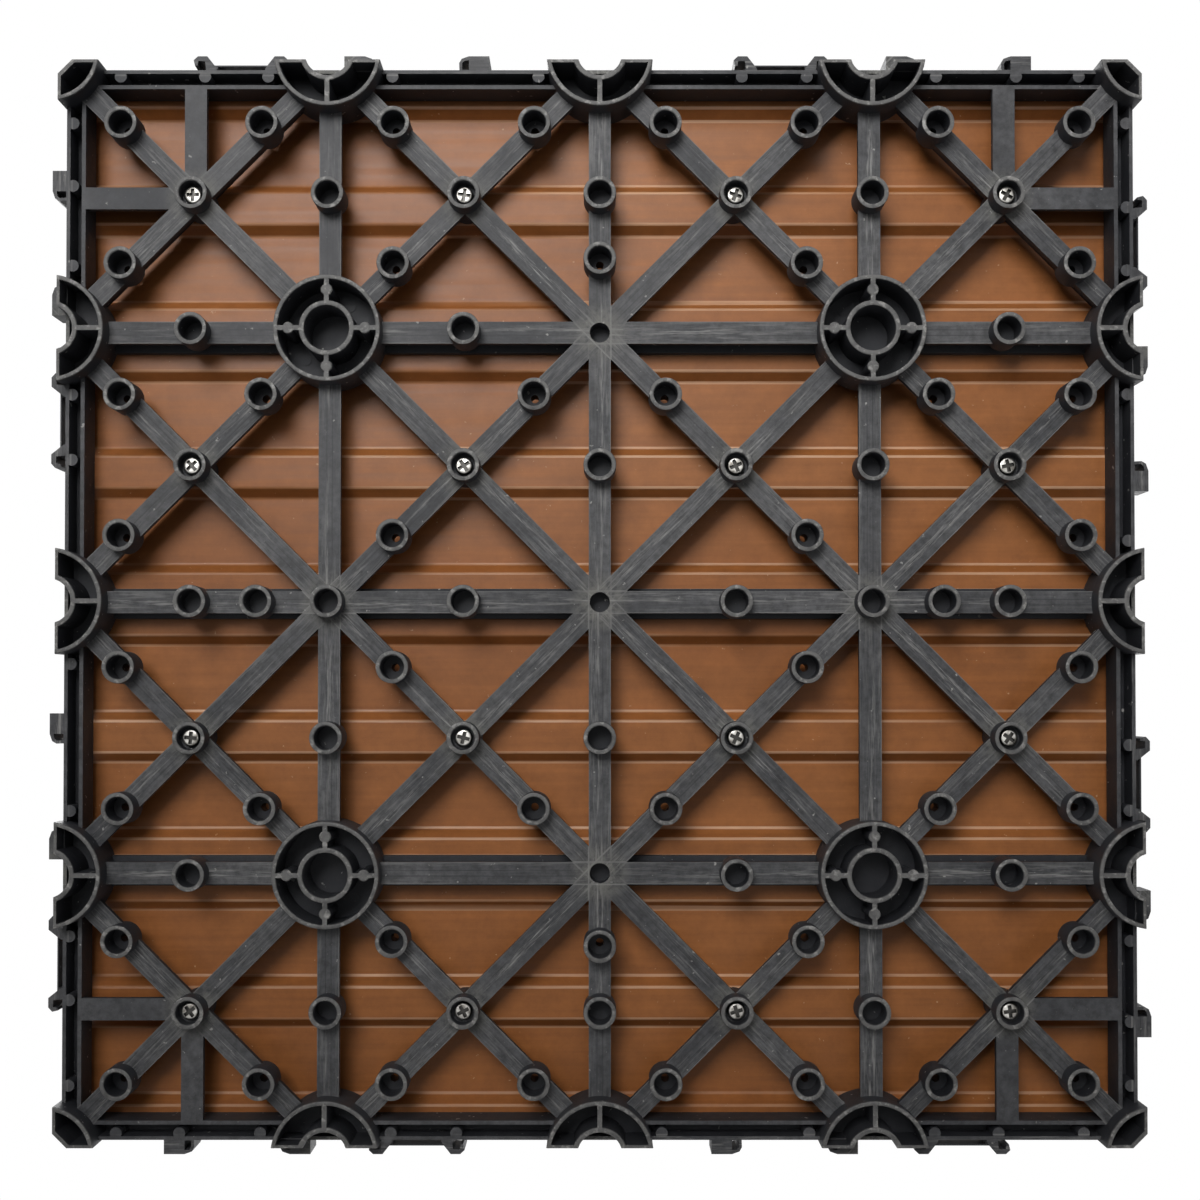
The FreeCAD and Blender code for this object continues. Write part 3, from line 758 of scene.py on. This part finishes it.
def paint(name, material):
    """Gives every slot of a CAD node the material."""
    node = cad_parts[name]
    for index in range(max(1, len(node.material_slots))):
        if not node.material_slots:
            node.data.materials.append(material)
        node.material_slots[index].material = material


def soften(name):
    """Small rounding along the edges of a board, whose split corners are joined first."""
    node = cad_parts[name]
    weld = node.modifiers.new("joined_corners", "WELD")
    weld.merge_threshold = CORNER_JOIN * MM
    modifier = node.modifiers.new("rounding", "BEVEL")
    modifier.width = BOARD_ROUNDING * MM
    modifier.segments = 2
    modifier.limit_method = "ANGLE"
    modifier.angle_limit = math.radians(25.0)


def dress(item, node, material):
    """Puts the finer piece in the place of a CAD node."""
    item.data.materials.clear()
    item.data.materials.append(material)
    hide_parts(node)
    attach(item, "root")


# Floor, world, lamps and camera

WHITE = (1.0, 1.0, 1.0, 1.0)
FLOOR_SIZE = 8.0  # metres
FLOOR_COLOUR = (0.32, 0.32, 0.32, 1.0)
FLOOR_GLOW = 0.58  # keeps the floor pale far from the lamps; only the camera sees it
WORLD_SEEN, WORLD_LIGHT = 1.0, 0.06


def floor_material():
    """Pale floor that is seen only from above, with the tile's shadow; light passes it."""
    nodes = Nodes("pale_floor")
    geometry = nodes.add("ShaderNodeNewGeometry")
    path = nodes.add("ShaderNodeLightPath")
    diffuse = nodes.add("ShaderNodeBsdfDiffuse", Color=FLOOR_COLOUR)
    glow = nodes.add("ShaderNodeEmission", Color=WHITE, Strength=FLOOR_GLOW)
    pale = nodes.tree.nodes.new("ShaderNodeAddShader")
    nodes.tree.links.new(diffuse.outputs[0], pale.inputs[0])
    nodes.tree.links.new(glow.outputs[0], pale.inputs[1])
    clear = nodes.add("ShaderNodeBsdfTransparent")
    seen = nodes.math("SUBTRACT", path.outputs["Is Camera Ray"],
                      geometry.outputs["Backfacing"], clamp=True)
    mix = nodes.add("ShaderNodeMixShader", Fac=seen)
    nodes.tree.links.new(clear.outputs[0], mix.inputs[1])
    nodes.tree.links.new(pale.outputs[0], mix.inputs[2])
    nodes.tree.links.new(mix.outputs[0], nodes.output.inputs["Surface"])
    return nodes.material


def make_floor():
    """Floor a hair under the feet, which the photograph's camera looks through from below."""
    bpy.ops.mesh.primitive_plane_add(size=FLOOR_SIZE, location=(0.0, 0.0, -0.02 * MM))
    floor = bpy.context.object
    floor.name = "floor"
    floor.data.materials.append(floor_material())


def make_world():
    """White behind the tile, and a soft even light around it."""
    world = bpy.data.worlds.new("studio")
    bpy.context.scene.world = world
    world.use_nodes = True
    tree = world.node_tree
    tree.nodes.clear()
    path = tree.nodes.new("ShaderNodeLightPath")
    seen = tree.nodes.new("ShaderNodeBackground")
    seen.inputs["Strength"].default_value = WORLD_SEEN
    seen.inputs["Color"].default_value = WHITE
    soft = tree.nodes.new("ShaderNodeBackground")
    soft.inputs["Strength"].default_value = WORLD_LIGHT
    soft.inputs["Color"].default_value = WHITE
    mix = tree.nodes.new("ShaderNodeMixShader")
    output = tree.nodes.new("ShaderNodeOutputWorld")
    sight = path.outputs["Is Camera Ray"]
    for ray in ("Is Glossy Ray", "Is Transmission Ray"):
        either = tree.nodes.new("ShaderNodeMath")
        either.operation = "MAXIMUM"
        tree.links.new(sight, either.inputs[0])
        tree.links.new(path.outputs[ray], either.inputs[1])
        sight = either.outputs[0]
    tree.links.new(sight, mix.inputs[0])
    tree.links.new(soft.outputs[0], mix.inputs[1])
    tree.links.new(seen.outputs[0], mix.inputs[2])
    tree.links.new(mix.outputs[0], output.inputs["Surface"])


def lamp(name, place, size, power, target=(0.0, 0.0, 0.0), spread=180.0):
    """Square soft box that faces its target; with a narrow spread its light fades round it."""
    data = bpy.data.lights.new(name, "AREA")
    data.shape = "SQUARE"
    data.size = size
    data.energy = power
    data.spread = math.radians(spread)
    item = bpy.data.objects.new(name, data)
    item.location = place
    aim = Vector(target) - Vector(place)
    item.rotation_euler = aim.to_track_quat("-Z", "Y").to_euler()
    bpy.context.collection.objects.link(item)


def make_lamps():
    """Two soft boxes under the tile, for the photograph's view, and two above it."""
    lamp("key_below", (-0.2, -0.5, -0.85), size=0.5, power=1.65,
         target=(0.01, -0.25, 0.0), spread=70.0)
    lamp("fill_below", (0.5, -0.45, -0.9), size=0.8, power=0.55)
    lamp("key_above", (-0.6, -0.5, 1.1), size=0.8, power=13.0)
    lamp("fill_above", (0.8, 0.3, 0.9), size=0.9, power=6.0)


def make_camera():
    """Camera at the photograph's place, with the tile's upper side away from it."""
    data = bpy.data.cameras.new("photo_camera")
    data.sensor_width = SENSOR
    data.lens = FOCAL_PIXELS / FRAME_PIXELS * SENSOR
    data.shift_y = (PRINCIPAL_ROW - FRAME_PIXELS / 2) / FRAME_PIXELS
    data.clip_start = 0.02
    camera = bpy.data.objects.new("photo_camera", data)
    bpy.context.collection.objects.link(camera)
    camera.location = CAMERA_PLACE
    camera.rotation_euler = (math.pi + CAMERA_TILT, 0.0, 0.0)
    bpy.context.scene.camera = camera


plastic = base_plastic()
board = board_composite()
steel = screw_steel()
dress(make_base(), "base_grid", plastic)
dress(make_screws(), "board_screws", steel)
for name in BOARDS:
    paint(name, board)
    soften(name)
make_floor()
make_world()
make_lamps()
make_camera()
bpy.context.scene.view_settings.view_transform = "Standard"
